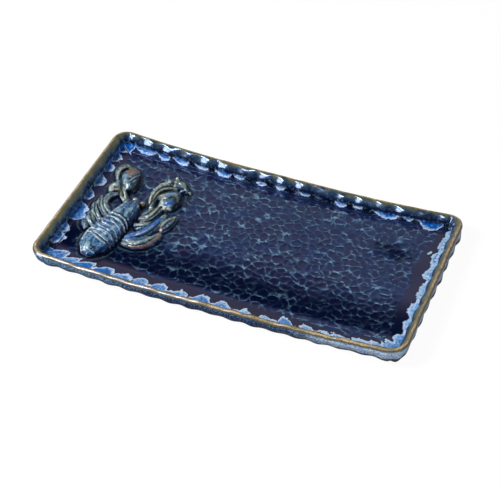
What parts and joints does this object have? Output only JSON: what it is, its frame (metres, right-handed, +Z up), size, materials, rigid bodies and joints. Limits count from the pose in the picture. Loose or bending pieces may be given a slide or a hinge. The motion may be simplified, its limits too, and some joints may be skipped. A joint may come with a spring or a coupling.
{
  "type": "serving tray",
  "caption": "Rectangular glazed stoneware tray with a low pinched rim, swept-up ends and a lobster in relief on the floor at one end.",
  "frame": {"origin": "centre of the tray, on the table it stands on", "axes": "+X along the length away from the lobster, +Y to the far long side, where the claws point, +Z up"},
  "size_m": [0.3816, 0.2091, 0.0308],
  "materials": {
    "floor_glaze": "glossy dark cobalt glaze, teal where it thins on the hammered ridges",
    "rim_glaze": "glossy glaze, tan on the lip, olive to blue below, with pale blue runs at the foot",
    "body_glaze": "glossy slate blue glaze, pale on the ridges",
    "claw_glaze": "glossy olive and pale blue glaze, tan where it thins",
    "leg_glaze": "glossy cobalt and olive glaze, brown at the edges",
    "eye_glaze": "glossy cream glaze"
  },
  "bodies": {
    "root": {"base_slab": "floor_glaze", "rim_front": "rim_glaze", "rim_right": "rim_glaze", "rim_back": "rim_glaze", "rim_left": "rim_glaze", "carapace": "body_glaze", "tail_segment_1": "body_glaze", "tail_segment_2": "body_glaze", "tail_segment_3": "body_glaze", "tail_segment_4": "body_glaze", "tail_segment_5": "body_glaze", "tail_segment_6": "body_glaze", "telson": "body_glaze", "uropod_left": "body_glaze", "uropod_right": "body_glaze", "eye_left": "eye_glaze", "eye_right": "eye_glaze", "arm_left": "claw_glaze", "wrist_left": "claw_glaze", "palm_left": "claw_glaze", "finger_left": "claw_glaze", "arm_right": "claw_glaze", "palm_right": "claw_glaze", "finger_right": "claw_glaze", "leg_left_1": "leg_glaze", "leg_left_2": "leg_glaze", "leg_left_3": "leg_glaze", "leg_left_4": "leg_glaze", "leg_left_4_tip": "leg_glaze", "leg_right_1": "leg_glaze", "leg_right_2": "leg_glaze", "leg_right_3": "leg_glaze", "leg_right_4": "leg_glaze", "leg_right_4_tip": "leg_glaze"}
  },
  "joints": []
}
